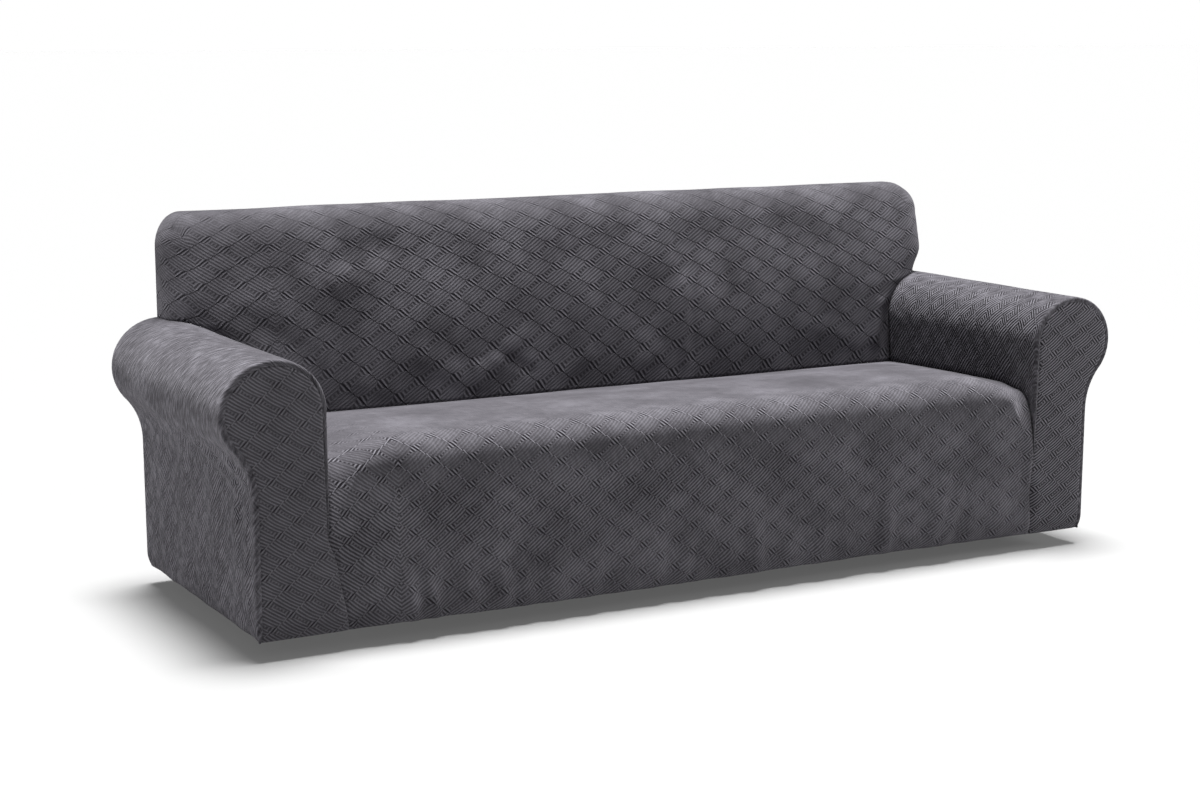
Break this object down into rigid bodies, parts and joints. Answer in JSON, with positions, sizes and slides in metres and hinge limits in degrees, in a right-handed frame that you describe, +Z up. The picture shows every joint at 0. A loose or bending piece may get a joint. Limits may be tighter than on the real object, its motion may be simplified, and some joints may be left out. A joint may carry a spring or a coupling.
{
  "type": "fitted stretch sofa slipcover",
  "caption": "Fitted stretch slipcover for a long sofa with rolled arms: sewn jacquard panels over back, seat and arms, hollow and open underneath.",
  "frame": {"origin": "middle of the cover's footprint, at the height of its hem", "axes": "+X along the sofa towards the arm on the right when seen from the front, +Y from the front to the back, +Z up"},
  "size_m": [2.3, 0.7506, 0.8217],
  "materials": {
    "cover_cloth": "soft matt stretch jacquard knit, mid-dark neutral grey, with a raised lattice of ribbed diamonds and a faint sheen"
  },
  "bodies": {
    "root": {"inside_back": "cover_cloth", "outside_back": "cover_cloth", "seat": "cover_cloth", "arm_left": "cover_cloth", "arm_right": "cover_cloth", "arm_front_left": "cover_cloth", "arm_front_right": "cover_cloth"}
  },
  "joints": []
}
